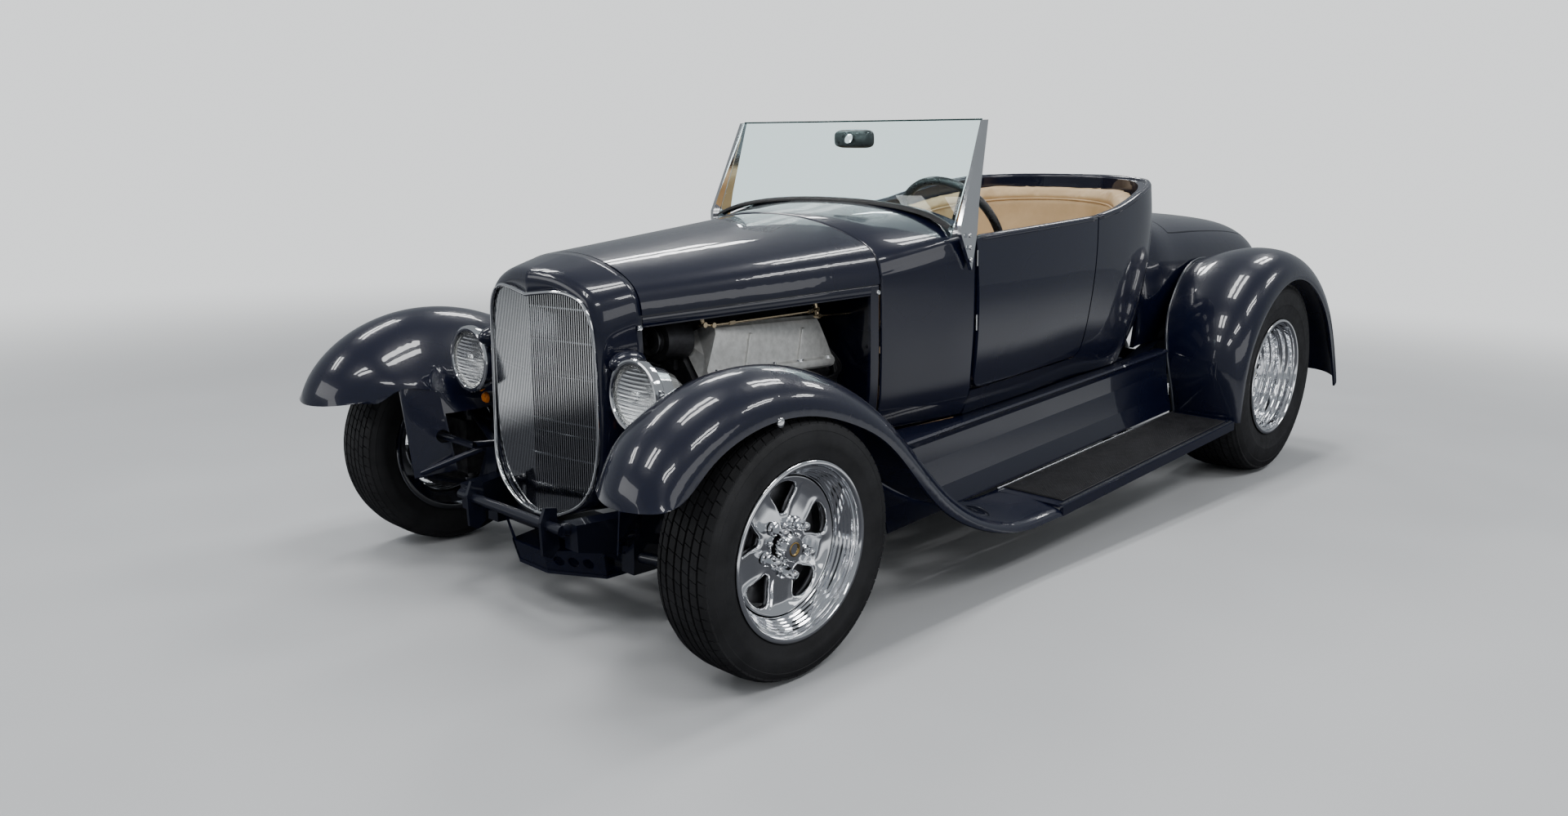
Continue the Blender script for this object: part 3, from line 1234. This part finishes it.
def press(obj, lines, depth):
    """Presses seams into a pad: lines() gives a point's distance from the nearest seam in mm."""
    mesh = obj.data
    normals = [v.normal.copy() for v in mesh.vertices]
    for v, n in zip(mesh.vertices, normals):
        v.co -= n * depth * math.exp(-(lines(*unlevel(v.co)) / 6) ** 2)
    mesh.shade_smooth()
    soft = obj.modifiers.new("rounding", "SUBSURF")
    soft.levels = soft.render_levels = 1


def seat_shape(x, i, j, k):
    z = CUSHION_Z0 + (CUSHION_Z1 - CUSHION_Z0) * k - (12 * (1 - i) ** 3 if k > 0.5 else 0)
    return x, (j - 0.5) * 2 * (CUSHION_HALF - 10 * (1 - i)), z


def wrap_shape(x, i, j, k):
    """The back follows the tub's inside, and its top edge the rim."""
    share = 0.152 + 0.696 * i
    inset = BACK_INSET + BACK_THICK * j
    top = rim_height(tub_point(share, 760, inset)[0]) - 28
    z = BACK_FOOT_Z + (top - BACK_FOOT_Z) * k
    return *tub_point(share, z, inset - 12 * (k > 0.9)), z


def cushion_seams(x, y, z):
    """Two seams along the cushion, and one round its edge except at the back."""
    return min(abs(abs(y) - 150), abs(z - 548) + (x < -1740) * 99)


def back_seams(x, y, z):
    """A seam below the top roll, and two upright ones below it."""
    roll = rim_height(x) - WELT_DROP
    return min(abs(z - roll), abs(abs(y) - 372) + (z > roll) * 99)


def seats():
    """Bench cushion and wrapped back, as blown pads with sewn seams."""
    bm = pad_block(CUSHION_X0, CUSHION_X1, (10, 20, 3), seat_shape)
    cushion = add("bench_cushion", bm, "tan_leather", sharp=0)
    puff(cushion, 0.014)
    press(cushion, cushion_seams, 0.007)
    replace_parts(cushion, "seat_cushion")
    back = add("bench_back", pad_block(0, 1, (64, 3, 9), wrap_shape), "tan_leather", sharp=0)
    puff(back, 0.012)
    press(back, back_seams, 0.008)
    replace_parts(back, "seat_back")


def seat_filler():
    """Leather that closes the gap between the cushion and the back."""
    rows = []
    for y in [-440 + 22 * j for j in range(41)]:
        share = 0.5
        while share > 0.16 and tub_point(share, FILLER_REACH_Z, FILLER_INSET)[1] < abs(y):
            share -= 0.004
        run = tub_point(share, FILLER_REACH_Z, FILLER_INSET)[0] - FILLER_X
        rows.append([lv(FILLER_X + run * k / 6, y, FILLER_Z + 12 * math.sin(math.pi * k / 6))
                     for k in range(7)])
    bm = bmesh.new()
    skin(bm, rows)
    add("seat_filler", bm, "tan_leather", sharp=0)


def back_welt():
    """Welt along the seam below the back's top roll."""
    bm = bmesh.new()
    welt = [tub_point(0.158 + 0.684 * i / 60, 860, 96) for i in range(61)]
    tube(bm, [lv(x, y, rim_height(x) - WELT_DROP) for x, y in welt], 3.6, 8)
    add("back_welt", bm, "tan_leather", sharp=0)


# Doors and edges

def rolled_edges():
    """Rolled bead along the tub's rim and along the top of each door."""
    for name, body, first, last, count in (("tub_bead", "chassis", 0.1412, 0.8588, 96),
                                           ("door_bead_left", "door_left", 0.004, 0.1375, 20),
                                           ("door_bead_right", "door_right", 0.8625, 0.996, 20)):
        path = []
        for share in [first + (last - first) * i / count for i in range(count + 1)]:
            top = rim_height(tub_point(share, 862, 9)[0])
            path.append(lv(*tub_point(share, top, 9), top - 3))
        bm = bmesh.new()
        tube(bm, path, 11.5, 16)
        add(name, bm, "body_paint", body, sharp=0)


def door_seals():
    """Rubber strips inside the gaps round each door."""
    bm = bmesh.new()
    for side in (1, -1):
        line = ((-1049, 846), (-1049, 600), (-1049, 440), (-1056, 421), (-1300, 419), (-1610, 419),
                (-1650, 432), (-1664, 500), (-1700, 680), (-1736, 846))
        tube(bm, [lv(x, side * (door_half(z) - 44), z) for x, z in line], 8.5, 8)
    add("door_seals", bm, "tyre_rubber", sharp=0, finish="seal_rubber")


def door_cards():
    """Leather panel with a pocket welt on the inside of each door."""
    for side, name in ((1, "door_left"), (-1, "door_right")):
        rows = []
        for i in range(25):
            row = []
            for k in range(17):
                z = 448 + 396 * k / 16
                swell = 9 * min(min(i, 24 - i, k, 16 - k) / 2, 1) + 2.5 * math.sin(math.pi * k / 16)
                y = door_half(z) - 34.5 - 1.5 * (i < 2) - swell + (4 if abs(z - 640) < 14 else 0)
                row.append(lv(-1082 - 560 * i / 24, side * y, z))
            rows.append(row)
        bm = bmesh.new()
        skin(bm, [row[::-side] for row in rows])
        add("card_" + name, bm, "tan_leather", name, sharp=0, levels=1, thick=0.004)


# Controls and floor

DIALS = ((318, 842, 43), (206, 842, 43), (96, 858, 27), (24, 860, 27), (-48, 858, 27))


def gauges():
    """Round dials with rims, tick marks and needles across the dashboard."""
    faces, rings, needles = bmesh.new(), bmesh.new(), bmesh.new()
    out = turn_level(-1, 0, 0)
    for y, z, r in DIALS:
        place = lv(-1027.5, y, z)
        lathe(rings, [(0, r + 4), (5, r + 4), (8, r + 1), (6, r - 2), (2, r - 3)], place, out, 48)
        lathe(faces, [(0, r - 2), (2.5, r - 2), (2.5, 0)], place, out, 48)
        for angle in [math.radians(-130 + 32 * k) for k in range(9)]:
            ray = Vector((0, math.sin(angle), math.cos(angle))) * r / 1000
            tube(needles, [place + out * 0.0032 + ray * a for a in (0.72, 0.88)], 0.6, 4)
        ray = Vector((0, -0.6, 0.8)) * r / 1000
        tube(needles, [place + out * 0.004 + ray * a for a in (-0.2, 0.7)], [1.1, 0.5], 6)
        lathe(needles, [(2, 4), (5.5, 3.5), (6, 0)], place, out, 16)
    add("gauge_rings", rings, "bright_trim", sharp=25)
    add("gauge_faces", faces, "steering_black")
    add("gauge_needles", needles, "tan_leather", finish="piping")


def horn_cap():
    """Cap on the steering wheel's hub, with five rivets along each spoke."""
    axis = turn_level(-445, 0, 198).normalized()
    hub = lv(-1262, 262, 846)
    bm = bmesh.new()
    lathe(bm, [(12, 31), (20, 31), (24, 28), (22, 24), (23.5, 22), (26, 12), (26.5, 0)], hub, axis, 48)
    up = axis.cross(Vector((0, 1, 0))).normalized()
    for turn in (math.radians(90), math.radians(-30), math.radians(210)):
        ray = up * math.cos(turn) + axis.cross(up) * math.sin(turn)
        for k in range(5):
            spot = hub + ray * (0.055 + 0.024 * k) + axis * 0.0085
            lathe(bm, [(-0.5, 0), (-0.5, 3.4), (1.2, 3), (1.8, 1.5), (1.8, 0)], spot, axis, 12)
    add("horn_cap", bm, "bright_trim", "steering_wheel", sharp=30)


def pedals_and_shift():
    """Two hanging pedals, and the shift lever with its knob and boot."""
    arms, pads, knob = bmesh.new(), bmesh.new(), bmesh.new()
    for y, x, z, half in ((300, -872, 500, 36), (170, -862, 470, 22)):
        tube(arms, smooth_path([lv(-750, y, 640), lv(-800, y, 600), lv(x + 10, y, z + 20)], 5), 7)
        corners = [(x - dx, y + dy) for dx, dy in ((4, -half), (4, half), (14, half), (14, -half))]
        ends = ((0, z - 34), (26, z + 40))
        block(pads, [lv(px + shift, py, pz) for shift, pz in ends for px, py in corners])
    tube(arms, smooth_path([lv(-1190, 0, 352), lv(-1196, 4, 470), lv(-1236, 18, 600)], 6), 7.5, 12)
    add("pedal_arms", arms, "bright_trim", sharp=0)
    add("pedal_pads", pads, "tyre_rubber", bevel=0.003, finish="mat_rubber")
    lathe(knob, [(-24, 9), (-20, 15), (-8, 23.5), (6, 24.5), (18, 17), (23.5, 6), (24, 0)],
          lv(-1242, 20, 618), turn_level(-0.3, 0.1, 1), 32)
    lathe(knob, [(0, 66), (4, 64), (12, 50), (18, 52), (28, 36), (34, 38), (46, 22), (52, 24), (70, 10),
                 (72, 0)], lv(-1190, 0, 351), turn_level(0, 0, 1), 40)
    add("shift_knob", knob, "steering_black", sharp=0)


def floor_carpet():
    """Carpet over the cabin floor, turned down at its edges."""
    rows = []
    for i in range(41):
        half = min(366 + 60 * (i / 13), 408)
        x = -762 - 916 * i / 40
        folds = [6 * (j in (0, 24) or i in (0, 40)) for j in range(25)]
        rows.append([lv(x, half * (j / 12 - 1), 351 - fold) for j, fold in enumerate(folds)])
    bm = bmesh.new()
    skin(bm, rows)
    add("floor_carpet", bm, "cockpit_trim", sharp=0)


# Tail

TAIL_LENS_R = 31


def tail_pieces():
    """Tail lamp bezels with ribbed red lenses, and the rims of the exhaust outlets."""
    out = turn_level(-1, 0, 0)
    bezels, lenses, tips, bores = bmesh.new(), bmesh.new(), bmesh.new(), bmesh.new()
    for side in (1, -1):
        place = lv(-3478.4, side * 200, 450)
        lathe(bezels, [(0, 0), (0, 36), (19, 36.2), (23.5, 34.5), (23.8, 32), (18, 30.5)], place, out, 64)
        dome = []
        for i in range(31):
            far = 1 - i / 30
            along = 15.5 + 7.5 * (1 - far ** 2) + 0.7 * abs(math.sin(i * math.pi / 3))
            dome.append((along, TAIL_LENS_R * far))
        lathe(lenses, dome, place, out, 64)
        end = lv(-2350, side * 700, 58)
        along = (end - lv(-2080, side * 640, 62)).normalized()
        lathe(tips, [(-60, 30.2), (3, 30.4), (4.5, 29.8), (4.5, 27.8), (1, 27.2)], end, along, 48)
        lathe(bores, [(1.2, 27.5), (0.6, 0)], end, along, 48)
    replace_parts(add("tail_lamp_bezels", bezels, "bright_trim", sharp=30), "tail_lamps")
    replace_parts(add("tail_lamp_lenses", lenses, "red_lens", sharp=0), "tail_lamps")
    add("outlet_rims", tips, "exhaust_steel", sharp=30)
    add("outlet_bores", bores, "engine_metal")


finishes = {row[1]: row[0](*row[1:]) for row in FINISHES}
dress_cad()
place_camera()
set_floor()
set_lights()
wheels()
frame_piece()
grille_shell_piece()
grille_trim()
headlamps()
cowl_piece()
hood_rails()
screen_trim()
mirror()
board_mats()
fender_piping()
outside_screws()
engine_pieces()
seats()
seat_filler()
back_welt()
rolled_edges()
door_seals()
door_cards()
gauges()
horn_cap()
pedals_and_shift()
floor_carpet()
tail_pieces()
